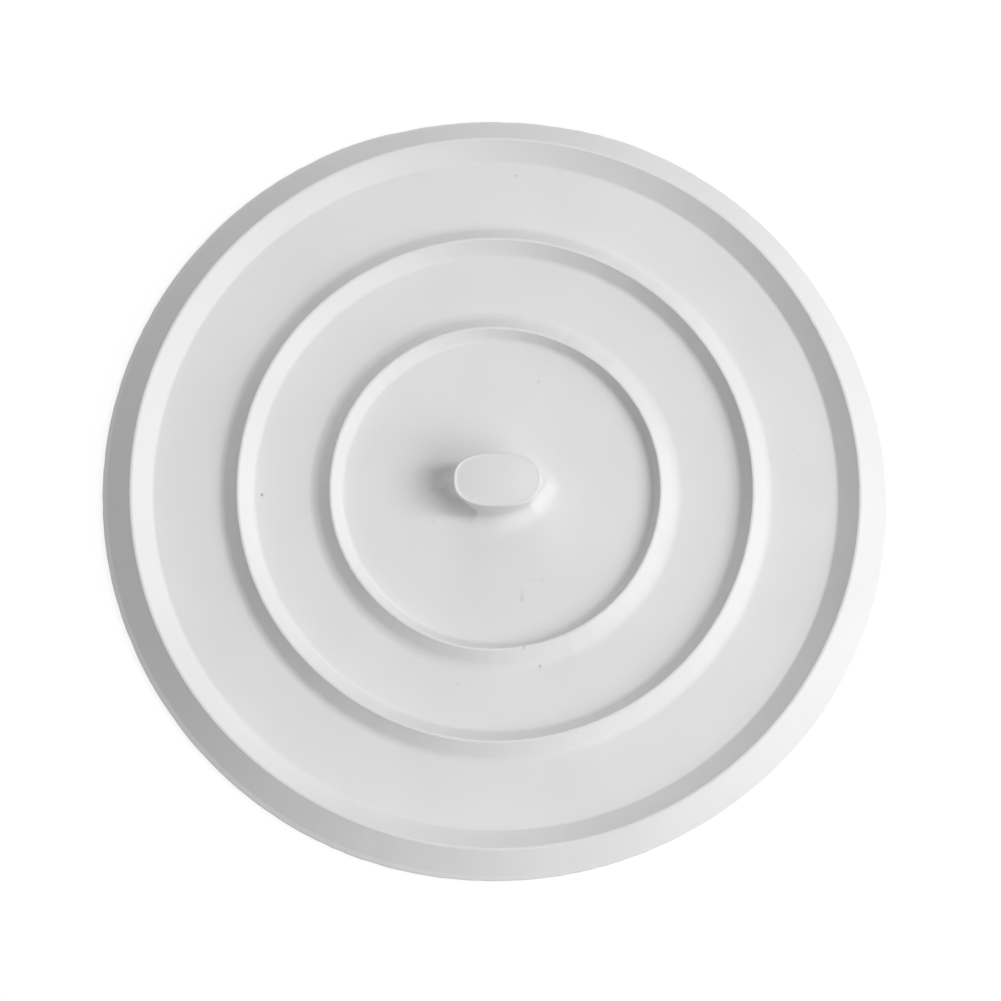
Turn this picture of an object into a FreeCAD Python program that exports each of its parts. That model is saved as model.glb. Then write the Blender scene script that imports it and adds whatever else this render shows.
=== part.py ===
"""Flat rubber drain stopper: a disc with a heavy rim, two stiffening rings and a pull tab.

Lengths are in millimetres. +Z is up, the sealing face lies on Z = 0 and the disc's axis is the Z axis.
The long side of the pull tab lies along X.
"""
import FreeCAD, Part
import os

import Sketcher

doc = FreeCAD.newDocument("drain_stopper")

# Driving sizes. A text that starts with = is worked out from the others.
SIZES = [
    # disc
    ("stopper_diameter", "115", "outside of the sealing edge"),
    ("web_thickness", "1.8", "thin floor between the ridges"),
    ("ridge_height", "2.7", "sharp crest of the rim and of both rings above the floor"),
    ("edge_height", "0.9", "upright wall of the sealing edge"),
    ("edge_round", "0.5", "rounding on top of the sealing edge"),
    ("rim_crest_round", "0.3", "rounding of the rim's crest"),
    ("ring_crest_round", "0.4", "rounding of the rings' crests"),
    ("foot_round", "0.45", "fillet where a ridge meets the floor"),
    ("foot_margin", "1.1", "flat floor that belongs to a ridge, beyond its foot"),
    # rim
    ("rim_outer_run", "4.35", "level width of the rim's outer bevel"),
    ("rim_inner_run", "3.35", "level width of the rim's inner bevel"),
    # middle ring
    ("middle_crest_share", "0.654", "its crest as a share of the disc's radius"),
    ("middle_inner_run", "2.6", "level width of its inner flank"),
    ("middle_outer_run", "2.7", "level width of its outer flank"),
    # inner ring
    ("inner_crest_share", "0.419", "its crest as a share of the disc's radius"),
    ("inner_inner_run", "2.3", "level width of its inner flank"),
    ("inner_outer_run", "2.4", "level width of its outer flank"),
    # pull tab
    ("patch_margin", "2.4", "floor around the tab's root that lifts with the tab"),
    ("knob_height", "7.2", "top of the tab above the floor"),
    ("neck_height", "2", "lowest part of the tab, where it bends"),
    ("knob_root_length", "16.1", "length of the tab where it meets the floor"),
    ("knob_root_width", "9.8", "width of the tab where it meets the floor"),
    ("knob_top_length", "12.8", "length of the tab at its top"),
    ("knob_top_width", "7.7", "width of the tab at its top"),
    ("knob_top_shift", "0.1", "how far the top stands along X from the disc's axis"),
    ("knob_top_round", "0.3", "rounding around the top of the tab"),
    # worked out
    ("stopper_radius", "=stopper_diameter / 2", "sealing edge"),
    ("crest_height", "=web_thickness + ridge_height", "sharp crests above the sink"),
    ("rim_crest_radius", "=stopper_radius - rim_outer_run", "rim crest"),
    ("rim_foot_radius", "=rim_crest_radius - rim_inner_run", "inner foot of the rim"),
    ("rim_zone_radius", "=rim_foot_radius - foot_margin", "where the rim ends and the outer web starts"),
    ("middle_crest_radius", "=stopper_radius * middle_crest_share", "middle crest"),
    ("middle_outer_radius", "=middle_crest_radius + middle_outer_run", "outer foot of the middle ring"),
    ("middle_inner_radius", "=middle_crest_radius - middle_inner_run", "inner foot of the middle ring"),
    ("middle_zone_outer", "=middle_outer_radius + foot_margin", "where the middle ring meets the outer web"),
    ("middle_zone_inner", "=middle_inner_radius - foot_margin", "where the middle ring meets the inner web"),
    ("inner_crest_radius", "=stopper_radius * inner_crest_share", "inner crest"),
    ("inner_outer_radius", "=inner_crest_radius + inner_outer_run", "outer foot of the inner ring"),
    ("inner_inner_radius", "=inner_crest_radius - inner_inner_run", "inner foot of the inner ring"),
    ("inner_zone_outer", "=inner_outer_radius + foot_margin", "where the inner ring meets the inner web"),
    ("inner_zone_inner", "=inner_inner_radius - foot_margin", "where the inner ring meets the center panel"),
    ("knob_base_radius", "=knob_root_length / 2 + patch_margin", "edge of the tab's patch of floor"),
    ("neck_share", "=neck_height / knob_height", "how far up the tab the neck reaches"),
    ("neck_top_height", "=web_thickness + neck_height", "top of the neck above the sink"),
    ("knob_top_height", "=web_thickness + knob_height", "top of the tab above the sink"),
    ("neck_top_width", "=knob_root_width + (knob_top_width - knob_root_width) * neck_share", "top of neck"),
    ("neck_top_length", "=knob_root_length + (knob_top_length - knob_root_length) * neck_share", "top of neck"),
    ("neck_top_shift", "=knob_top_shift * neck_share", "top of neck"),
    # oval sections of the tab: the radius of the ends, and where their centres stand either side of the axis
    ("root_end_radius", "=knob_root_width / 2", "root oval"),
    ("root_right", "=(knob_root_length - knob_root_width) / 2", "root oval"),
    ("root_left", "=(knob_root_length - knob_root_width) / 2", "root oval"),
    ("neck_end_radius", "=neck_top_width / 2", "neck oval"),
    ("neck_right", "=(neck_top_length - neck_top_width) / 2 + neck_top_shift", "neck oval"),
    ("neck_left", "=(neck_top_length - neck_top_width) / 2 - neck_top_shift", "neck oval"),
    ("top_end_radius", "=knob_top_width / 2", "top oval"),
    ("top_right", "=(knob_top_length - knob_top_width) / 2 + knob_top_shift", "top oval"),
    ("top_left", "=(knob_top_length - knob_top_width) / 2 - knob_top_shift", "top oval"),
]

sheet = doc.addObject("Spreadsheet::Sheet", "Sizes")
for row, (alias, text, note) in enumerate(SIZES, start=1):
    sheet.set("A%d" % row, alias)
    sheet.set("B%d" % row, text)
    sheet.set("C%d" % row, note)
    sheet.setAlias("B%d" % row, alias)
doc.recompute()


# Two places count as one within this distance.
SAME_PLACE = 1e-6


def size(alias):
    """Value of a named size in millimetres."""
    return float(sheet.get(alias))


def new_body(label):
    """Body of one zone of the moulding."""
    body = doc.addObject("PartDesign::Body", label)
    body.Label = label
    return body


def new_sketch(body, name, plane):
    """Sketch on one of the body's own base planes: XY_Plane or XZ_Plane."""
    sketch = body.newObject("Sketcher::SketchObject", name)
    origin_plane = [item for item in body.Origin.OriginFeatures if item.Role == plane]
    sketch.AttachmentSupport = (origin_plane[0], "")
    sketch.MapMode = "FlatFace"
    return sketch


def bind(sketch, constraint, alias):
    """Adds a constraint to a sketch and ties its value to a named size."""
    number = sketch.addConstraint(constraint)
    sketch.setExpression("Constraints[%d]" % number, "%s.%s" % (sheet.Name, alias))


def circle_names(shape, radius, height):
    """Names of the full circles of a turned shape that have this radius and height."""
    names = []
    for number, edge in enumerate(shape.Edges, start=1):
        if not isinstance(edge.Curve, Part.Circle):
            continue
        same_radius = abs(edge.Curve.Radius - radius) < SAME_PLACE
        same_height = abs(edge.Curve.Center.z - height) < SAME_PLACE
        if same_radius and same_height:
            names.append("Edge%d" % number)
    return names


def turned(label, corners, rounds=()):
    """Turned zone: a closed section of (name, radius, height) corners about the Z axis.

    A height of None lies on the sealing face and a radius of None lies on the axis. Each entry of rounds
    gives a rounding size and the names of the corners that get it.
    """
    body = new_body(label)
    sketch = new_sketch(body, label + "_section", "XZ_Plane")
    points = []
    place = {}
    for name, radius, height in corners:
        across = size(radius) if radius else 0.0
        up = size(height) if height else 0.0
        place[name] = FreeCAD.Vector(across, up, 0)
        points.append(place[name])
    count = len(points)
    for index in range(count):
        sketch.addGeometry(Part.LineSegment(points[index], points[(index + 1) % count]), False)
    for index in range(count):
        sketch.addConstraint(Sketcher.Constraint("Coincident", index, 2, (index + 1) % count, 1))
    for index, (name, radius, height) in enumerate(corners):
        if radius:
            bind(sketch, Sketcher.Constraint("DistanceX", -1, 1, index, 1, points[index].x), radius)
        else:
            sketch.addConstraint(Sketcher.Constraint("PointOnObject", index, 1, -2))
        if height:
            bind(sketch, Sketcher.Constraint("DistanceY", -1, 1, index, 1, points[index].y), height)
        else:
            sketch.addConstraint(Sketcher.Constraint("PointOnObject", index, 1, -1))
    turn = body.newObject("PartDesign::Revolution", label + "_turn")
    turn.Profile = sketch
    turn.ReferenceAxis = (sketch, ["V_Axis"])
    turn.Angle = 360
    doc.recompute()
    last = turn
    for alias, chosen in rounds:
        names = []
        for name in chosen:
            names += circle_names(last.Shape, place[name].x, place[name].y)
        fillet = body.newObject("PartDesign::Fillet", label + "_" + alias)
        fillet.Base = (last, names)
        fillet.setExpression("Radius", "%s.%s" % (sheet.Name, alias))
        doc.recompute()
        last = fillet
    return body


def oval(body, name, end_radius, left, right, height):
    """Level oval at a named height: equal half circles centred left and right of the axis, and two lines."""
    sketch = new_sketch(body, name, "XY_Plane")
    sketch.setExpression("AttachmentOffset.Base.z", "%s.%s" % (sheet.Name, height))
    round_ = size(end_radius)
    right_center = FreeCAD.Vector(size(right), 0, 0)
    left_center = FreeCAD.Vector(-size(left), 0, 0)
    up = FreeCAD.Vector(0, round_, 0)
    normal = FreeCAD.Vector(0, 0, 1)
    quarter = FreeCAD.Units.Quantity("90 deg").getValueAs("rad").Value
    right_arc = Part.ArcOfCircle(Part.Circle(right_center, normal, round_), -quarter, quarter)
    left_arc = Part.ArcOfCircle(Part.Circle(left_center, normal, round_), quarter, 3 * quarter)
    sketch.addGeometry(right_arc, False)
    sketch.addGeometry(Part.LineSegment(right_center + up, left_center + up), False)
    sketch.addGeometry(left_arc, False)
    sketch.addGeometry(Part.LineSegment(left_center - up, right_center - up), False)
    sketch.addConstraint(Sketcher.Constraint("Tangent", 0, 2, 1, 1))
    sketch.addConstraint(Sketcher.Constraint("Tangent", 1, 2, 2, 1))
    sketch.addConstraint(Sketcher.Constraint("Tangent", 2, 2, 3, 1))
    sketch.addConstraint(Sketcher.Constraint("Tangent", 3, 2, 0, 1))
    sketch.addConstraint(Sketcher.Constraint("PointOnObject", 0, 3, -1))
    sketch.addConstraint(Sketcher.Constraint("PointOnObject", 2, 3, -1))
    sketch.addConstraint(Sketcher.Constraint("Equal", 0, 2))
    bind(sketch, Sketcher.Constraint("Radius", 0, round_), end_radius)
    bind(sketch, Sketcher.Constraint("DistanceX", -1, 1, 0, 3, size(right)), right)
    bind(sketch, Sketcher.Constraint("DistanceX", 2, 3, -1, 1, size(left)), left)
    return sketch


def tapered(label, lower, upper, top_round=None):
    """Tapered zone of the pull tab between two level ovals, with its upper edge rounded if asked."""
    body = new_body(label)
    bottom = oval(body, label + "_lower", *lower)
    top = oval(body, label + "_upper", *upper)
    loft = body.newObject("PartDesign::AdditiveLoft", label + "_loft")
    loft.Profile = top
    loft.Sections = [(bottom, [""])]
    loft.Ruled = True
    doc.recompute()
    if top_round:
        names = []
        for number, edge in enumerate(loft.Shape.Edges, start=1):
            if abs(edge.BoundBox.ZMin - loft.Shape.BoundBox.ZMax) < SAME_PLACE:
                names.append("Edge%d" % number)
        fillet = body.newObject("PartDesign::Fillet", label + "_" + top_round)
        fillet.Base = (loft, names)
        fillet.setExpression("Radius", "%s.%s" % (sheet.Name, top_round))
        doc.recompute()
    return body


def ring(label, zone_inner, inner_foot, crest, outer_foot, zone_outer):
    """Stiffening ring: a triangular ridge on its own strip of floor."""
    corners = [
        ("under_inside", zone_inner, None),
        ("under_outside", zone_outer, None),
        ("floor_outside", zone_outer, "web_thickness"),
        ("outer_foot", outer_foot, "web_thickness"),
        ("crest", crest, "crest_height"),
        ("inner_foot", inner_foot, "web_thickness"),
        ("floor_inside", zone_inner, "web_thickness"),
    ]
    rounds = [("ring_crest_round", ["crest"]), ("foot_round", ["outer_foot", "inner_foot"])]
    return turned(label, corners, rounds)


def web(label, inner, outer):
    """Thin flat floor between two zones. With no inner radius it is a full disc."""
    corners = [
        ("under_inside", inner, None),
        ("under_outside", outer, None),
        ("floor_outside", outer, "web_thickness"),
        ("floor_inside", inner, "web_thickness"),
    ]
    return turned(label, corners)


# Rim, from the outer web outward: underside, edge wall, outer bevel, crest, inner bevel.
rim_corners = [
    ("under_inside", "rim_zone_radius", None),
    ("under_edge", "stopper_radius", None),
    ("edge", "stopper_radius", "edge_height"),
    ("crest", "rim_crest_radius", "crest_height"),
    ("foot", "rim_foot_radius", "web_thickness"),
    ("floor_inside", "rim_zone_radius", "web_thickness"),
]
rim_rounds = [("edge_round", ["edge"]), ("rim_crest_round", ["crest"]), ("foot_round", ["foot"])]

# Radii of each ring from the inside out: zone, foot, crest, foot, zone.
middle_radii = (
    "middle_zone_inner",
    "middle_inner_radius",
    "middle_crest_radius",
    "middle_outer_radius",
    "middle_zone_outer",
)
inner_radii = (
    "inner_zone_inner",
    "inner_inner_radius",
    "inner_crest_radius",
    "inner_outer_radius",
    "inner_zone_outer",
)

# Ovals of the pull tab: end radius, left and right centres, height.
root_oval = ("root_end_radius", "root_left", "root_right", "web_thickness")
neck_oval = ("neck_end_radius", "neck_left", "neck_right", "neck_top_height")
top_oval = ("top_end_radius", "top_left", "top_right", "knob_top_height")

zones = [
    turned("outer_rim", rim_corners, rim_rounds),
    web("outer_web", "middle_zone_outer", "rim_zone_radius"),
    ring("middle_ring", *middle_radii),
    web("inner_web", "inner_zone_outer", "middle_zone_inner"),
    ring("inner_ring", *inner_radii),
    web("center_panel", "knob_base_radius", "inner_zone_inner"),
    web("knob_base", None, "knob_base_radius"),
    tapered("knob_neck", root_oval, neck_oval),
    tapered("pull_knob", neck_oval, top_oval, "knob_top_round"),
]

doc.recompute()
for item in doc.Objects:
    if "Invalid" in item.State or "Error" in item.State:
        raise RuntimeError("%s did not recompute: %s" % (item.Label, item.State))

os.makedirs("parts", exist_ok=True)
for zone in zones:
    if zone.Shape.isNull() or not zone.Shape.isValid():
        raise RuntimeError("%s has no valid shape" % zone.Label)
    zone.Shape.exportStep("parts/%s.step" % zone.Label)
    print(zone.Label, round(zone.Shape.Volume, 2), zone.Shape.BoundBox)
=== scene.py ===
"""White rubber drain stopper, dressed for its picture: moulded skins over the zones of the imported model.

Lengths are in metres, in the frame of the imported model: +Z up, the sealing face on Z = 0, the long side of
the pull tab along X. Each skin is a surface worked out on a grid of two parameters.
"""
import math

import bpy
import numpy as np
from bpy.props import FloatProperty, FloatVectorProperty, IntProperty, PointerProperty
from mathutils import Matrix, Vector


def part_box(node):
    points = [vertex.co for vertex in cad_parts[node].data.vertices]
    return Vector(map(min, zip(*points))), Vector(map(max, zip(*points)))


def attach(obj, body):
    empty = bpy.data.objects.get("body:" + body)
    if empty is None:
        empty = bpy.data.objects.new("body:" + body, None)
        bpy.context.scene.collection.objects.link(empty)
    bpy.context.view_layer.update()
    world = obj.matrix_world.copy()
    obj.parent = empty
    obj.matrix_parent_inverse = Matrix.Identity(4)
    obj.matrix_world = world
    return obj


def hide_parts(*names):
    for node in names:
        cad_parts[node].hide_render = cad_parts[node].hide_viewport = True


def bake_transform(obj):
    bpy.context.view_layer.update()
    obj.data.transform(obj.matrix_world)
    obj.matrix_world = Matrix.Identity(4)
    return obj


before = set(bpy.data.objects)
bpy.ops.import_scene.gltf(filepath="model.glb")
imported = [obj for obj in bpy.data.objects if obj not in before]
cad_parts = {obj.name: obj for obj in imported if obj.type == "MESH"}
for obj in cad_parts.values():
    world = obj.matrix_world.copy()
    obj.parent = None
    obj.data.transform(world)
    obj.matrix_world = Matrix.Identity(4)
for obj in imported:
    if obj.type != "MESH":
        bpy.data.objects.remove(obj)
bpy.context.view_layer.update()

bl_info = {
    "name": "Drain Stopper",
    "version": (1, 0, 0),
    "blender": (4, 5, 0),
    "location": "View3D > Sidebar > Stopper",
    "description": "Builds a moulded rubber drain stopper over its packed solids, with a studio stage",
    "category": "Add Mesh",
}

MM = 0.001
FULL_TURN = 2 * math.pi

# Turn between two faces past which the edge between them stays crisp.
CREASE = math.radians(40)

# Waves round the disc, fewest and most, of each way in which the moulding strays from true circles.
SWAY_WAVES = (2, 7)
RIM_BURR_WAVES = (40, 160)
RING_BURR_WAVES = (30, 110)
FOOT_WAVES = (2, 60)
EDGE_WAVES = (3, 90)
# First of the random seeds of the rim and of each ring.
RIM_SEED = 11
MIDDLE_SEED = 21
INNER_SEED = 31

# Side of the disc, as a turn from +X, where the trimmed flash is widest.
FLASH_SIDE = math.radians(210)
# Stretches where the edge is trimmed closer: turn of the middle and half width in degrees, depth in
# millimetres.
CLOSE_TRIMS = ((58, 60, 0.48), (92, 16, 0.26), (26, 16, 0.16), (285, 30, 0.3))

# Flats cut on the tab: way that each faces as a turn in degrees, depth at the root and at the top in
# millimetres.
TAB_FLATS = ((-35, 0.61, 0.2), (-129, 0.76, 0.0))
# Least cosine to a flat's facing at which the flat is still reckoned, so that its distance stays finite.
FACING_LEAST = 1e-3
# Shares of the way from the border of the tab's patch of floor to its fillet where grid lines lie.
PATCH_SHARES = (0.3, 0.6, 0.85)
# Times the cosine of the angle from the tab's left end that makes the lip's share of its full height, up
# to 1.
LIP_SPREAD = 1.3

# Dark specks: place in plan, radius and strength of the darkening, lengths in millimetres.
SPECKS = (
    (-34.15, -0.6, 0.34, 0.75),
    (3.8, -14.8, 0.36, 0.08),
    (3.78, -15.2, 0.42, 0.12),
    (3.75, -15.6, 0.46, 0.15),
    (3.72, -15.95, 0.46, 0.18),
    (3.7, -16.25, 0.42, 0.2),
    (3.93, -23.77, 0.4, 0.3),
    (6.4, 16.5, 0.4, 0.2),
    (-5.6, -28.8, 0.32, 0.2),
    (6.6, -13.4, 0.46, 0.1),
    (5.4, -13.4, 0.32, 0.13),
    (43.7, 6.4, 0.36, 0.1),
    (3.3, 48.1, 0.36, 0.27),
    (6.3, -26.1, 0.38, 0.42),
    (-9.2, -4.6, 0.5, 0.12),
    (-5.3, -10.3, 0.32, 0.11),
)

# Windows that light the stopper: name, turn from +X and rise in degrees, width and height as angles seen
# from the stopper, and level, the share of its own colour that a face square to the window shows by its
# light.
WINDOWS = (
    ("window", 0, 50, 9, 34, 0.38),
    ("front_window", -34, 41, 36, 32, 0.325),
    ("back_window", 90, 35, 34, 42, 0.16),
    ("low_window", -22, 13, 34, 20, 0.1),
)

# Camera: turn from the front and rise in degrees, distance from the disc's middle in metres.
CAMERA_TURN = -4.45
CAMERA_RISE = 76.95
CAMERA_DISTANCE = 0.660675
SENSOR_WIDTH = 36.0
# Picture: its side, the disc's radius and the place of the disc's middle, all in pixels.
PICTURE_SIDE = 1001
DISC_PIXELS = 392.2
DISC_MIDDLE = (495.5, 493.6)


def reach(zone):
    """How far a packed zone reaches from the disc's axis along X."""
    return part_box(zone)[1].x


def top(zone):
    """Height of the top of a packed zone above the sealing face."""
    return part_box(zone)[1].z


def length_prop(label, text, millimetres):
    """Property for a length that a user would change, with its default given in millimetres."""
    return FloatProperty(
        name=label, description=text, default=millimetres * MM, min=0.0, precision=5, unit="LENGTH"
    )


def linear(hex_code):
    """Linear RGB of an sRGB hex colour, by the standard's two branches: a straight toe and a 2.4 power."""
    srgb = np.array([int(hex_code[i:i + 2], 16) for i in (1, 3, 5)]) / 255
    return tuple(np.where(srgb <= 0.04045, srgb / 12.92, ((srgb + 0.055) / 1.055) ** 2.4))


def colour_prop(label, text, hex_code):
    """Property for a colour that a user would change, with its default given as an sRGB hex code."""
    return FloatVectorProperty(
        name=label, description=text, default=linear(hex_code), min=0.0, max=1.0, size=3, subtype="COLOR"
    )


class StopperSizes(bpy.types.PropertyGroup):
    """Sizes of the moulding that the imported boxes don't give."""

    steps: IntProperty(name="Steps", description="Grid lines round the disc", default=720, min=90)
    arc_steps: IntProperty(name="Arc steps", description="Points on each rounded corner", default=7, min=3)
    web_lines: IntProperty(name="Web lines", description="Grid lines across a web", default=33, min=3)
    support: length_prop("Support", "Distance of the grid line that keeps a face flat by a rounding", 0.04)
    dish: length_prop("Dish", "Rise of a web's floor from its outer to its inner border", 0.03)

    flash_least: length_prop("Least flash", "Width of the trimmed flash where it is narrowest", 0.3)
    flash_most: length_prop("Most flash", "Width of the trimmed flash where it is widest", 0.7)
    edge_wall: length_prop("Edge wall", "Height of the upright wall of the sealing edge", 0.72)
    flash_fall: length_prop("Flash fall", "How far the flash falls to the wall where it is widest", 0.45)
    bevel_fall: length_prop("Bevel fall", "How far the flash falls where it is narrowest", 0.26)
    edge_round: length_prop("Edge round", "Rounding of the sealing edge", 0.14)
    rim_outer_run: length_prop("Rim outer run", "Level width from the full reach to the rim's crest", 4.36)
    rim_inner_run: length_prop("Rim inner run", "Level width of the rim's inner bevel", 3.04)
    rim_crest_shift: length_prop("Rim crest shift", "How far the rim's crest lies off the axis", 0.1)
    rim_crest_round: length_prop("Rim crest round", "Rounding on either side of the rim's crest", 0.14)
    rim_foot_round: length_prop("Rim foot round", "Fillet of the rim's inner bevel on the floor", 0.6)

    foot_margin: length_prop("Foot margin", "Floor that belongs to a ring beyond its packed foot", 1.1)
    middle_outer_run: length_prop("Middle outer run", "Width of the packed middle ring's outer flank", 2.7)
    inner_outer_run: length_prop("Inner outer run", "Width of the packed inner ring's outer flank", 2.4)
    middle_flank_out: length_prop("Middle flank out", "From the middle crest to its outer foot", 2.3)
    middle_flank_in: length_prop("Middle flank in", "From the middle crest to its inner foot", 1.95)
    inner_flank_out: length_prop("Inner flank out", "From the inner crest to its apron", 1.9)
    inner_flank_in: length_prop("Inner flank in", "From the inner crest to its inner foot", 1.3)
    inner_crest_drop: length_prop("Inner crest drop", "How far the inner crest stays below its solid", 0.3)
    apron_width: length_prop("Apron width", "Level width of the apron outside the inner ring", 0.9)
    apron_height: length_prop("Apron height", "Height at which the apron meets the flank", 0.4)
    apron_round: length_prop("Apron round", "Rounding where the inner ring eases into its apron", 2.0)
    crest_land: length_prop("Crest land", "Width of the flat along a crest", 0.34)
    ring_crest_round: length_prop("Ring crest round", "Rounding on either side of a ring's crest", 0.15)
    outer_foot_round: length_prop("Outer foot round", "Fillet of the middle ring's outer flank", 1.5)
    inner_foot_round: length_prop("Inner foot round", "Fillet of a ring's inner flank", 0.8)
    inner_foot_shift: length_prop("Inner foot shift", "How far a ring's inner foot lies off the axis", 0.25)

    crest_sway: length_prop("Crest sway", "How far a crest strays from a true circle", 0.08)
    crest_burr: length_prop("Crest burr", "Fine raggedness of a crest", 0.025)
    edge_burr: length_prop("Edge burr", "Raggedness of the trimmed flash", 0.09)

    tab_top_length: length_prop("Tab top length", "Length of the tab at its top", 12.8)
    tab_top_width: length_prop("Tab top width", "Width of the tab at its top", 8.0)
    tab_top_shift: length_prop("Tab top shift", "How far the tab's top stands along X from the axis", 0.1)
    tab_top_back: length_prop("Tab top back", "How far the tab's top stands along Y from the axis", 0.12)
    tab_root_inset: length_prop("Tab root inset", "How far the wall starts inside the packed root", 0.8)
    tab_root_round: length_prop("Tab root round", "Fillet where the tab meets the floor", 2.5)
    tab_top_round: length_prop("Tab top round", "Rounding around the tab's top", 0.28)
    tab_lip_width: length_prop("Tab lip width", "Width of the raised lip at the tab's left end", 0.26)
    tab_lip_height: length_prop("Tab lip height", "Height of the raised lip at the tab's left end", 0.07)
    tab_crown: length_prop("Tab crown", "How far the tab's top falls from its middle to its edge", 0.35)
    tab_root_fullness: FloatProperty(
        name="Tab root fullness",
        description="Power of the oval at the tab's root: 2 is an ellipse",
        default=1.72,
        min=1.2,
    )
    tab_top_fullness: FloatProperty(
        name="Tab top fullness", description="Power of the oval at the tab's top", default=2.55, min=1.5
    )
    wall_lines: IntProperty(name="Wall lines", description="Grid lines up the tab's wall", default=24, min=3)
    lip_lines: IntProperty(name="Lip lines", description="Grid lines across the tab's lip", default=9, min=3)
    top_lines: IntProperty(name="Top lines", description="Grid lines across the tab's top", default=12, min=3)


class StopperFinish(bpy.types.PropertyGroup):
    """Colours and grain of the moulded white rubber."""

    rubber: colour_prop("Rubber", "Body colour of the rubber", "#E5E5E5")
    # Dark colour that the specks are mixed towards.
    speck_colour: colour_prop("Speck_tint", "Tint that sits in the specks", "#777777")
    grain: length_prop("Grain", "Width of the moulded grain", 0.45)
    cloud: length_prop("Cloud", "Width of the faint patches of tone", 14.0)


class StopperStage(bpy.types.PropertyGroup):
    """Floor and light."""

    floor_size: FloatProperty(name="Floor", description="Side of the floor", default=6.0, unit="LENGTH")
    floor_gap: length_prop("Floor gap", "How far the floor lies below the sealing face", 0.02)
    floor_bounce: FloatProperty(
        name="Floor bounce", description="Share of its light that the floor throws back", default=0.8, min=0.0
    )
    floor_shade: FloatProperty(
        name="Floor shade", description="Share of its light that shows on the floor", default=0.18, min=0.0
    )
    floor_glow: FloatProperty(
        name="Floor glow", description="White that shows on the floor besides", default=0.855, min=0.0
    )
    window_distance: FloatProperty(
        name="Window distance",
        description="How far the windows stand from the stopper",
        default=1.4,
        unit="LENGTH",
    )
    fill: FloatProperty(name="Fill", description="Even light from all around", default=0.272, min=0.0)


# Shapes


def wander(angles, seed, waves, swing):
    """Closed random line round the disc, no higher than swing.

    It is the sum of cosines with every whole number of waves from waves[0] to waves[1] and random phases.
    """
    counts = np.arange(waves[0], waves[1] + 1)
    phases = np.random.default_rng(seed).uniform(0, FULL_TURN, len(counts))
    line = np.cos(np.outer(angles, counts) + phases).sum(axis=1)
    return swing * line / np.abs(line).max()


def rounded(corners, rounds, arc_steps, support):
    """Closed sections with rounded corners, one for each angle.

    corners is angles x corners x (radius, height). A rounding is the rational curve from one tangent point
    to the other that the corner pulls on, with the sine of half the corner's angle as the corner's weight,
    which makes it a true arc. A point a little way out on either side keeps the flat faces flat. A corner
    with no rounding stays one point.
    """
    back = np.roll(corners, 1, axis=1) - corners
    ahead = np.roll(corners, -1, axis=1) - corners
    back /= np.linalg.norm(back, axis=2, keepdims=True)
    ahead /= np.linalg.norm(ahead, axis=2, keepdims=True)
    half = np.arccos(np.clip((back * ahead).sum(axis=2, keepdims=True), -1, 1)) / 2
    share = np.linspace(0, 1, arc_steps)[None, :, None]
    points = []
    for index, radius in enumerate(rounds):
        corner = corners[:, index:index + 1]
        if radius == 0:
            points.append(corner)
            continue
        far = radius / np.tan(half[:, index:index + 1])
        start = corner + back[:, index:index + 1] * far
        end = corner + ahead[:, index:index + 1] * far
        pull = 2 * share * (1 - share) * np.sin(half[:, index:index + 1])
        arc = (1 - share) ** 2 * start + pull * corner + share ** 2 * end
        arc = arc / ((1 - share) ** 2 + pull + share ** 2)
        points += [start + back[:, index:index + 1] * support, arc, end + ahead[:, index:index + 1] * support]
    return np.concatenate(points, axis=1)


def corner_track(angles, *corners):
    """Section corners at every angle: each corner is a (radius, height) pair of numbers or of lines."""
    track = np.empty((len(angles), len(corners), 2))
    for index, (radius, height) in enumerate(corners):
        track[:, index, 0] = radius
        track[:, index, 1] = height
    return track


def carried_round(angles, sections):
    """Points of sections carried round the Z axis: (r cos a, r sin a, z) for each angle a."""
    radius = sections[..., 0]
    turn = angles[:, None]
    return np.stack([radius * np.cos(turn), radius * np.sin(turn), sections[..., 1]], axis=-1)


def wrapped_faces(rows, columns, closed_columns):
    """Quads between neighbouring rows and columns of a grid whose rows close on themselves."""
    row = np.arange(rows)[:, None]
    column = np.arange(columns if closed_columns else columns - 1)[None, :]
    next_row = (row + 1) % rows
    next_column = (column + 1) % columns
    corners = (
        row * columns + column,
        next_row * columns + column,
        next_row * columns + next_column,
        row * columns + next_column,
    )
    return np.stack(corners, axis=-1).reshape(-1, 4)


def new_skin(name, points, faces, material):
    """Mesh piece with its place in its points, smooth shaded with crisp edges where faces turn sharply."""
    mesh = bpy.data.meshes.new(name)
    mesh.from_pydata(points.reshape(-1, 3), [], faces)
    mesh.shade_smooth()
    mesh.set_sharp_from_angle(angle=CREASE)
    mesh.materials.append(material)
    piece = bpy.data.objects.new(name, mesh)
    bpy.context.scene.collection.objects.link(piece)
    return piece


def ring_skin(name, angles, sections, material):
    """Closed ring: closed sections carried round the axis."""
    points = carried_round(angles, sections)
    return new_skin(name, points, wrapped_faces(*points.shape[:2], True), material)


def oval_reach(angles, length, width, fullness):
    """Distance from the middle of an oval to its outline at each angle.

    The outline is where the shares of half the length and half the width, each to the power of the fullness,
    add up to 1: an ellipse at 2, and squarer above.
    """
    along = np.abs(np.cos(angles)) / (length / 2)
    across = np.abs(np.sin(angles)) / (width / 2)
    return (along ** fullness + across ** fullness) ** (-1 / fullness)


def oval_support(turn, length, width, fullness):
    """Distance from the middle of an oval to the line square to a turn that just touches it.

    It is the same sum as the outline's, with half the length and half the width as factors and the power f
    turned into f / (f - 1).
    """
    power = fullness / (fullness - 1)
    along = abs(math.cos(turn)) * length / 2
    across = abs(math.sin(turn)) * width / 2
    return (along ** power + across ** power) ** (1 / power)


# Finish


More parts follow.
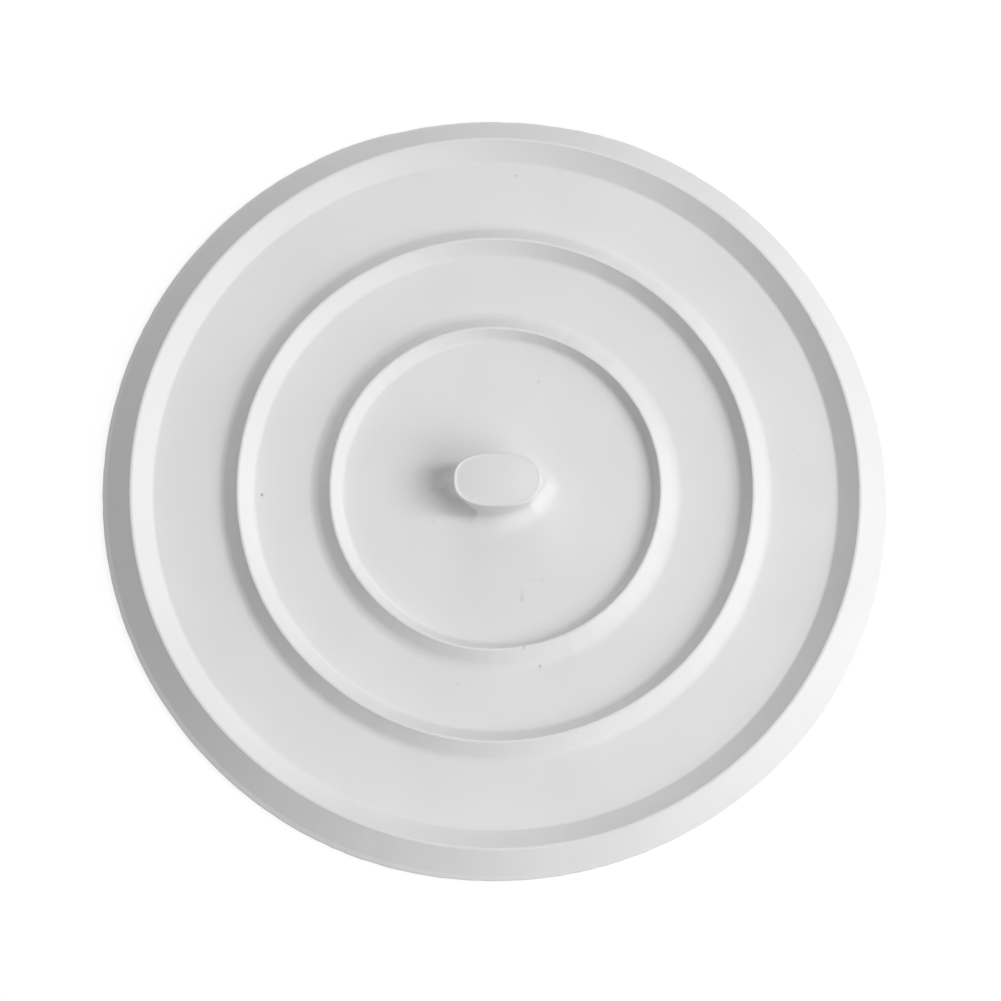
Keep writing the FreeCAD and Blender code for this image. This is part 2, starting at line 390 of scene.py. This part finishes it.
def node(tree, kind, links=None, **settings):
    """Adds a shader node with its own settings.

    links holds its inputs by name or number, each with the socket that feeds it or with a value.
    """
    made = tree.nodes.new(kind)
    for key, value in settings.items():
        setattr(made, key, value)
    for key, value in (links or {}).items():
        socket = made.inputs[key]
        if isinstance(value, bpy.types.NodeSocket):
            tree.links.new(value, socket)
        else:
            socket.default_value = value
    return made


def new_tree(data):
    """Empty node tree of a material or world."""
    data.use_nodes = True
    data.node_tree.nodes.clear()
    return data.node_tree


def moulded_white_rubber(finish):
    """Matte white rubber straight from a blasted mould.

    To the eye it is an even soft white with no mirror in it: a fine dull grain, faint patches of tone and
    a few dark specks on it.
    """
    material = bpy.data.materials.new("moulded_white_rubber")
    tree = new_tree(material)
    place = node(tree, "ShaderNodeTexCoord").outputs["Object"]

    # Patches of tone as wide as cloud, a few hundredths either side of the body colour.
    patches = node(tree, "ShaderNodeTexNoise", {"Vector": place, "Scale": 1 / finish.cloud, "Detail": 2.0})
    tone = node(
        tree,
        "ShaderNodeMapRange",
        {"Value": patches.outputs["Fac"], "From Min": 0.3, "From Max": 0.7, "To Min": 0.975, "To Max": 1.015},
    )
    shaded = node(
        tree,
        "ShaderNodeVectorMath",
        {0: finish.rubber[:], "Scale": tone.outputs["Result"]},
        operation="SCALE",
    )

    # Dark specks: each is a soft dot round its place in plan, mixed towards the speck colour, and the
    # strongest one wins.
    plan = node(tree, "ShaderNodeVectorMath", {0: place, 1: (1.0, 1.0, 0.0)}, operation="MULTIPLY")
    speck_mask = 0.0
    for x, y, radius, strength in SPECKS:
        away = node(
            tree,
            "ShaderNodeVectorMath",
            {0: plan.outputs["Vector"], 1: (x * MM, y * MM, 0.0)},
            operation="DISTANCE",
        )
        dot = node(
            tree,
            "ShaderNodeMapRange",
            {
                "Value": away.outputs["Value"],
                "From Min": 0.0,
                "From Max": radius * MM,
                "To Min": strength,
                "To Max": 0.0,
            },
            interpolation_type="SMOOTHSTEP",
        )
        strongest = node(tree, "ShaderNodeMath", {0: dot.outputs["Result"], 1: speck_mask}, operation="MAXIMUM")
        speck_mask = strongest.outputs["Value"]
    body = node(
        tree,
        "ShaderNodeMix",
        {"Factor": speck_mask, "A": shaded.outputs["Vector"], "B": (*finish.speck_colour, 1.0)},
        data_type="RGBA",
    )

    # Grain of the blasted mould, drawn coarse enough to show.
    grain = node(tree, "ShaderNodeTexNoise", {"Vector": place, "Scale": 1 / finish.grain, "Detail": 3.0})
    bumpy = node(
        tree,
        "ShaderNodeBump",
        {"Height": grain.outputs["Fac"], "Strength": 0.12, "Distance": 0.05 * MM},
    )
    rubber = node(
        tree,
        "ShaderNodeBsdfPrincipled",
        {
            "Base Color": body.outputs["Result"],
            "Roughness": 0.62,
            "IOR": 1.5,
            "Specular IOR Level": 0.35,
            "Normal": bumpy.outputs["Normal"],
        },
    )
    node(tree, "ShaderNodeOutputMaterial", {"Surface": rubber.outputs["BSDF"]})
    return material


def rubber_material():
    """The one rubber material, made on first use."""
    found = bpy.data.materials.get("moulded_white_rubber")
    return found or moulded_white_rubber(bpy.context.scene.stopper_finish)


# Pieces


class STOPPER_OT_rim(bpy.types.Operator):
    """Rim: sealing edge with its trimmed lip, outer bevel, crest and inner bevel"""

    bl_idname = "stopper.rim"
    bl_label = "Rim"

    def execute(self, context):
        sizes = context.scene.stopper_sizes
        angles = np.linspace(0, FULL_TURN, sizes.steps, endpoint=False)
        full = reach("outer_rim")
        inside = reach("outer_web")
        floor = top("outer_web") - sizes.dish
        sway = wander(angles, RIM_SEED, SWAY_WAVES, sizes.crest_sway)
        sway += wander(angles, RIM_SEED + 1, RIM_BURR_WAVES, sizes.crest_burr)
        # The edge was trimmed by hand: closer on some stretches, and the flash that is left is widest on
        # another side. The depth of a close stretch falls off from its middle as a bell with a flat top.
        edge = full - np.abs(wander(angles, RIM_SEED + 2, EDGE_WAVES, sizes.edge_burr))
        for turn, half_width, depth in CLOSE_TRIMS:
            away = np.angle(np.exp(1j * (angles - math.radians(turn)))) / math.radians(half_width)
            edge -= depth * MM * np.exp(-away ** 4)
        wide = (1 + np.cos(angles - FLASH_SIDE)) / 2
        bevel_foot = edge - sizes.flash_least - (sizes.flash_most - sizes.flash_least) * wide
        bevel_foot_height = sizes.edge_wall + sizes.bevel_fall + (sizes.flash_fall - sizes.bevel_fall) * wide
        crest = full - sizes.rim_outer_run + sway - sizes.rim_crest_shift * np.sin(angles)
        crest_height = top("outer_rim") - np.abs(sway)
        corners = corner_track(
            angles,
            (inside, 0),
            (edge, 0),
            (edge, sizes.edge_wall),
            (bevel_foot, bevel_foot_height),
            (crest + sizes.crest_land / 2, crest_height),
            (crest - sizes.crest_land / 2, crest_height),
            (full - sizes.rim_outer_run - sizes.rim_inner_run, floor),
            (inside, floor),
        )
        rounds = (
            0,
            sizes.edge_round,
            sizes.edge_round,
            sizes.edge_round,
            sizes.rim_crest_round,
            sizes.rim_crest_round,
            sizes.rim_foot_round,
            0,
        )
        sections = rounded(corners, rounds, sizes.arc_steps, sizes.support)
        skin = ring_skin("rim_skin", angles, sections, rubber_material())
        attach(skin, "rim")
        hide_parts("outer_rim")
        return {"FINISHED"}


class STOPPER_OT_rings(bpy.types.Operator):
    """Rings: the two stiffening ridges, each on its own strip of floor"""

    bl_idname = "stopper.rings"
    bl_label = "Rings"

    @staticmethod
    def middle_foot(sizes, crest, floor):
        """Outer foot of the middle ring and its rounding: one wide fillet."""
        return [(crest + sizes.middle_flank_out, floor)], (sizes.outer_foot_round,)

    @staticmethod
    def inner_foot(sizes, crest, floor):
        """Outer feet of the inner ring and their roundings: the flank ends in a low sloping apron."""
        flank_foot = crest + sizes.inner_flank_out
        feet = [(flank_foot + sizes.apron_width, floor), (flank_foot, floor + sizes.apron_height)]
        return feet, (sizes.apron_round, sizes.apron_round)

    def execute(self, context):
        sizes = context.scene.stopper_sizes
        angles = np.linspace(0, FULL_TURN, sizes.steps, endpoint=False)
        rows = (
            (
                "middle",
                "middle_ring",
                "inner_web",
                sizes.middle_outer_run,
                self.middle_foot,
                sizes.middle_flank_in,
                0.0,
                MIDDLE_SEED,
            ),
            (
                "inner",
                "inner_ring",
                "center_panel",
                sizes.inner_outer_run,
                self.inner_foot,
                sizes.inner_flank_in,
                sizes.inner_crest_drop,
                INNER_SEED,
            ),
        )
        for body, ring, next_zone, outer_run, outer_foot, flank_in, drop, seed in rows:
            outside = reach(ring)
            inside = reach(next_zone)
            floor = top("outer_web")
            inner_floor = floor - sizes.dish
            sway = wander(angles, seed, SWAY_WAVES, sizes.crest_sway)
            sway += wander(angles, seed + 1, RING_BURR_WAVES, sizes.crest_burr)
            uneven = wander(angles, seed + 2, FOOT_WAVES, sizes.crest_sway)
            crest = outside - sizes.foot_margin - outer_run
            crest_height = top(ring) - drop - np.abs(sway)
            inner_foot = crest - flank_in + uneven + sizes.inner_foot_shift * np.cos(angles)
            feet, feet_rounds = outer_foot(sizes, crest + uneven, floor)
            corners = corner_track(
                angles,
                (inside, 0),
                (outside, 0),
                (outside, floor),
                *feet,
                (crest + sway + sizes.crest_land / 2, crest_height),
                (crest + sway - sizes.crest_land / 2, crest_height),
                (inner_foot, inner_floor),
                (inside, inner_floor),
            )
            crest_round = sizes.ring_crest_round
            rounds = (0, 0, 0, *feet_rounds, crest_round, crest_round, sizes.inner_foot_round, 0)
            sections = rounded(corners, rounds, sizes.arc_steps, sizes.support)
            skin = ring_skin(body + "_ring_skin", angles, sections, rubber_material())
            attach(skin, body)
            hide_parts(ring)
        return {"FINISHED"}


class STOPPER_OT_webs(bpy.types.Operator):
    """Webs: the thin floor between rim, rings and tab"""

    bl_idname = "stopper.webs"
    bl_label = "Webs"

    def execute(self, context):
        sizes = context.scene.stopper_sizes
        angles = np.linspace(0, FULL_TURN, sizes.steps // 2, endpoint=False)
        rows = (
            ("outer_web", "middle_ring", "rim", "middle"),
            ("inner_web", "inner_ring", "middle", "inner"),
            ("center_panel", "knob_base", "inner", "tab_base"),
        )
        for zone, next_zone, outer_body, inner_body in rows:
            outside = reach(zone)
            inside = reach(next_zone)
            floor = top(zone)
            share = np.linspace(0, 1, sizes.web_lines)
            # The floor rises by the dish towards the axis, so a point's height says how far in it lies.
            face = np.stack([outside + (inside - outside) * share, floor - sizes.dish * (1 - share)], axis=1)
            section = np.concatenate([[(inside, 0), (outside, 0)], face])
            sections = np.broadcast_to(section, (len(angles), *section.shape))
            skin = ring_skin(zone + "_skin", angles, sections, rubber_material())
            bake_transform(skin)
            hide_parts(zone)
        return {"FINISHED"}


class STOPPER_OT_tab(bpy.types.Operator):
    """Tab: the tapered oval pull tab on its round patch of floor"""

    bl_idname = "stopper.tab"
    bl_label = "Tab"

    def outline(self, sizes, angles, share):
        """Oval of the tab at a share of its height: sizes go evenly from root to top, less the flats.

        A flat is a straight cut square to its facing: its distance from the axis, over the cosine of the
        angle from that facing.
        """
        low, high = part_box("knob_neck")
        inset = 2 * sizes.tab_root_inset
        length = (high.x - low.x - inset) * (1 - share) + sizes.tab_top_length * share
        width = (high.y - low.y - inset) * (1 - share) + sizes.tab_top_width * share
        fullness = sizes.tab_root_fullness * (1 - share) + sizes.tab_top_fullness * share
        line = oval_reach(angles, length, width, fullness)
        for degrees, root_depth, top_depth in TAB_FLATS:
            turn = math.radians(degrees)
            depth = (root_depth * (1 - share) + top_depth * share) * MM
            flat = oval_support(turn, length, width, fullness) - depth
            line = np.minimum(line, flat / np.maximum(np.cos(angles - turn), FACING_LEAST))
        return line

    def level_lines(self, sizes, angles):
        """Level lines from the underside's border to the middle of the top: angles x lines x (x, y, z).

        A line is a distance at each angle from the tab's axis, which leans evenly from the root to the top.
        """
        floor = top("knob_base")
        height = top("pull_knob")
        patch = reach("knob_base")
        root = self.outline(sizes, angles, 0)
        crown = self.outline(sizes, angles, 1)
        quarter = np.linspace(0, math.pi / 2, sizes.arc_steps)
        rows = []

        def add(distance, z, share=1.0):
            """Adds the line at a height z whose middle lies a share of the way along the lean."""
            x = distance * np.cos(angles) + sizes.tab_top_shift * share
            y = distance * np.sin(angles) + sizes.tab_top_back * share
            rows.append(np.column_stack([x, y, np.broadcast_to(z, angles.shape)]))

        # Round patch of floor, and the fillet from it to the wall.
        add(patch, 0.0, 0)
        add(patch, floor, 0)
        for share in PATCH_SHARES:
            add(patch + (root + sizes.tab_root_round - patch) * share, floor, 0)
        for turn in quarter:
            out = sizes.tab_root_round * (1 - math.sin(turn))
            add(root + out, floor + sizes.tab_root_round * (1 - math.cos(turn)), 0)

        # Wall, up to a lip that stands up along the left end and fades out along the sides.
        brim = height - sizes.tab_crown
        lip = sizes.tab_lip_height * np.clip(-LIP_SPREAD * np.cos(angles), 0, 1)
        wall_foot = floor + sizes.tab_root_round
        wall_top = brim + lip - sizes.tab_top_round
        for share in np.linspace(0, 1, sizes.wall_lines)[1:]:
            add(self.outline(sizes, angles, share), wall_foot + (wall_top - wall_foot) * share, share)

        # Rounding over the brim, inner side of the lip as half a cosine wave, and a top that falls from its
        # middle as a parabola.
        for turn in quarter[1:]:
            inset = sizes.tab_top_round * (1 - math.cos(turn))
            add(crown - inset, wall_top + sizes.tab_top_round * math.sin(turn))
        for turn in np.linspace(0, math.pi, sizes.lip_lines)[1:]:
            inset = sizes.tab_top_round + sizes.tab_lip_width * turn / math.pi
            add(crown - inset, brim + lip * (1 + math.cos(turn)) / 2)
        bowl = crown - sizes.tab_top_round - sizes.tab_lip_width
        for share in np.linspace(0, 1, sizes.top_lines)[-2:0:-1]:
            add(bowl * share, height - sizes.tab_crown * share ** 2)
        return np.stack(rows, axis=1)

    def execute(self, context):
        sizes = context.scene.stopper_sizes
        angles = np.linspace(0, FULL_TURN, sizes.steps // 2, endpoint=False)
        points = self.level_lines(sizes, angles)
        around, lines = points.shape[:2]
        first = np.arange(around) * lines
        last = first + lines - 1
        # A fan of triangles round one point closes the underside, and another the top.
        under = np.column_stack([np.full_like(first, around * lines), np.roll(first, -1), first])
        over = np.column_stack([np.full_like(last, around * lines + 1), last, np.roll(last, -1)])
        poles = [(0, 0, 0), (sizes.tab_top_shift, sizes.tab_top_back, top("pull_knob"))]
        everything = np.concatenate([points.reshape(-1, 3), poles])
        faces = wrapped_faces(around, lines, False).tolist() + under.tolist() + over.tolist()
        skin = new_skin("tab_skin", everything, faces, rubber_material())
        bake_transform(skin)
        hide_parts("knob_base", "knob_neck", "pull_knob")
        return {"FINISHED"}


class STOPPER_OT_stage(bpy.types.Operator):
    """Stage: pale floor, windows, even fill and the camera"""

    bl_idname = "stopper.stage"
    bl_label = "Stage"

    def execute(self, context):
        stage = context.scene.stopper_stage
        self.floor(stage)
        self.light(stage)
        self.camera(context)
        context.scene.view_settings.view_transform = "Standard"
        return {"FINISHED"}

    def floor(self, stage):
        """Level square under the stopper. The camera sees it near white, and it keeps the soft shadow."""
        material = bpy.data.materials.new("pale_floor")
        tree = new_tree(material)
        seen = node(tree, "ShaderNodeLightPath")
        direct = node(
            tree,
            "ShaderNodeMath",
            {0: seen.outputs["Is Camera Ray"], 1: seen.outputs["Is Glossy Ray"]},
            operation="MAXIMUM",
        )
        looked_at = node(
            tree,
            "ShaderNodeMath",
            {0: direct.outputs[0], 1: seen.outputs["Is Transmission Ray"]},
            operation="MAXIMUM",
        )
        paper = node(tree, "ShaderNodeBsdfDiffuse", {"Color": (*[stage.floor_bounce] * 3, 1.0)})
        faint = node(tree, "ShaderNodeBsdfDiffuse", {"Color": (*[stage.floor_shade] * 3, 1.0)})
        glow = node(tree, "ShaderNodeEmission", {"Strength": stage.floor_glow})
        bright = node(tree, "ShaderNodeAddShader", {0: faint.outputs[0], 1: glow.outputs[0]})
        surface = node(
            tree,
            "ShaderNodeMixShader",
            {"Fac": looked_at.outputs[0], 1: paper.outputs[0], 2: bright.outputs[0]},
        )
        node(tree, "ShaderNodeOutputMaterial", {"Surface": surface.outputs[0]})
        half = stage.floor_size / 2
        mesh = bpy.data.meshes.new("floor")
        plan = ((-half, -half), (half, -half), (half, half), (-half, half))
        mesh.from_pydata([(x, y, -stage.floor_gap) for x, y in plan], [], [(0, 1, 2, 3)])
        mesh.materials.append(material)
        floor = bpy.data.objects.new("floor", mesh)
        bpy.context.scene.collection.objects.link(floor)

    @staticmethod
    def lit_share(one, other):
        """What one pair of sides adds to the light of a rectangle square on, from half sides over distance.

        It is one half side over the slant to it, times the angle whose tangent is the other half side over
        that slant.
        """
        slant = math.hypot(1, one)
        return one / slant * math.atan(other / slant)

    def light(self, stage):
        """Windows round the stopper, and a world that fills evenly and looks white."""
        for name, turn, rise, width, height, level in WINDOWS:
            lamp = bpy.data.lights.new(name, "AREA")
            lamp.shape = "RECTANGLE"
            across = math.tan(math.radians(width / 2))
            up = math.tan(math.radians(height / 2))
            lamp.size = 2 * stage.window_distance * across
            lamp.size_y = 2 * stage.window_distance * up
            # The energy for which a face square to the window, at the stopper, gets the window's level.
            share = self.lit_share(across, up) + self.lit_share(up, across)
            lamp.energy = 2 * level * across * up * (math.pi * stage.window_distance) ** 2 / share
            window = bpy.data.objects.new(name, lamp)
            flat = math.cos(math.radians(rise))
            turn = math.radians(turn)
            aim = Vector((flat * math.cos(turn), flat * math.sin(turn), math.sin(math.radians(rise))))
            window.location = aim * stage.window_distance
            window.rotation_mode = "QUATERNION"
            window.rotation_quaternion = aim.to_track_quat("Z", "Y")
            bpy.context.scene.collection.objects.link(window)

        world = bpy.data.worlds.new("studio")
        bpy.context.scene.world = world
        tree = new_tree(world)
        seen = node(tree, "ShaderNodeLightPath").outputs["Is Camera Ray"]
        fill = node(tree, "ShaderNodeBackground", {"Color": (1.0, 1.0, 1.0, 1.0), "Strength": stage.fill})
        white = node(tree, "ShaderNodeBackground", {"Color": (1.0, 1.0, 1.0, 1.0), "Strength": 1.0})
        sky = node(tree, "ShaderNodeMixShader", {"Fac": seen, 1: fill.outputs[0], 2: white.outputs[0]})
        node(tree, "ShaderNodeOutputWorld", {"Surface": sky.outputs[0]})

    def camera(self, context):
        """Camera high above the front, rolled so that the tab's long side lies level in the picture."""
        turn = math.radians(CAMERA_TURN)
        rise = math.radians(CAMERA_RISE)
        back = Vector((math.sin(turn) * math.cos(rise), -math.cos(turn) * math.cos(rise), math.sin(rise)))
        side = (Vector((1, 0, 0)) - back * back.x).normalized()
        axes = Matrix((side, back.cross(side), back)).transposed()
        data = bpy.data.cameras.new("camera")
        data.sensor_width = SENSOR_WIDTH
        data.lens = DISC_PIXELS / reach("outer_rim") * CAMERA_DISTANCE / PICTURE_SIDE * SENSOR_WIDTH
        data.shift_x = (PICTURE_SIDE / 2 - DISC_MIDDLE[0]) / PICTURE_SIDE
        data.shift_y = (DISC_MIDDLE[1] - PICTURE_SIDE / 2) / PICTURE_SIDE
        data.clip_start = 0.01
        data.clip_end = 100.0
        camera = bpy.data.objects.new("camera", data)
        camera.matrix_world = Matrix.Translation(back * CAMERA_DISTANCE) @ axes.to_4x4()
        context.scene.collection.objects.link(camera)
        context.scene.camera = camera


class STOPPER_PT_panel(bpy.types.Panel):
    """Sidebar panel with the sizes and the builders"""

    bl_idname = "STOPPER_PT_panel"
    bl_label = "Drain Stopper"
    bl_space_type = "VIEW_3D"
    bl_region_type = "UI"
    bl_category = "Stopper"

    def draw(self, context):
        for operator in OPERATORS:
            self.layout.operator(operator.bl_idname)
        scene = context.scene
        for group in (scene.stopper_sizes, scene.stopper_finish, scene.stopper_stage):
            box = self.layout.box()
            for name in group.__annotations__:
                box.prop(group, name)


GROUPS = (StopperSizes, StopperFinish, StopperStage)
OPERATORS = (STOPPER_OT_rim, STOPPER_OT_rings, STOPPER_OT_webs, STOPPER_OT_tab, STOPPER_OT_stage)
CLASSES = (*GROUPS, *OPERATORS, STOPPER_PT_panel)


def register():
    """Registers the classes and hangs the property groups on the scene."""
    for item in CLASSES:
        bpy.utils.register_class(item)
    bpy.types.Scene.stopper_sizes = PointerProperty(type=StopperSizes)
    bpy.types.Scene.stopper_finish = PointerProperty(type=StopperFinish)
    bpy.types.Scene.stopper_stage = PointerProperty(type=StopperStage)


def unregister():
    """Takes the property groups off the scene and unregisters the classes."""
    del bpy.types.Scene.stopper_sizes
    del bpy.types.Scene.stopper_finish
    del bpy.types.Scene.stopper_stage
    for item in reversed(CLASSES):
        bpy.utils.unregister_class(item)


def main():
    """Builds every piece and the stage."""
    register()
    bpy.ops.stopper.rim()
    bpy.ops.stopper.rings()
    bpy.ops.stopper.webs()
    bpy.ops.stopper.tab()
    bpy.ops.stopper.stage()


if __name__ == "__main__":
    main()
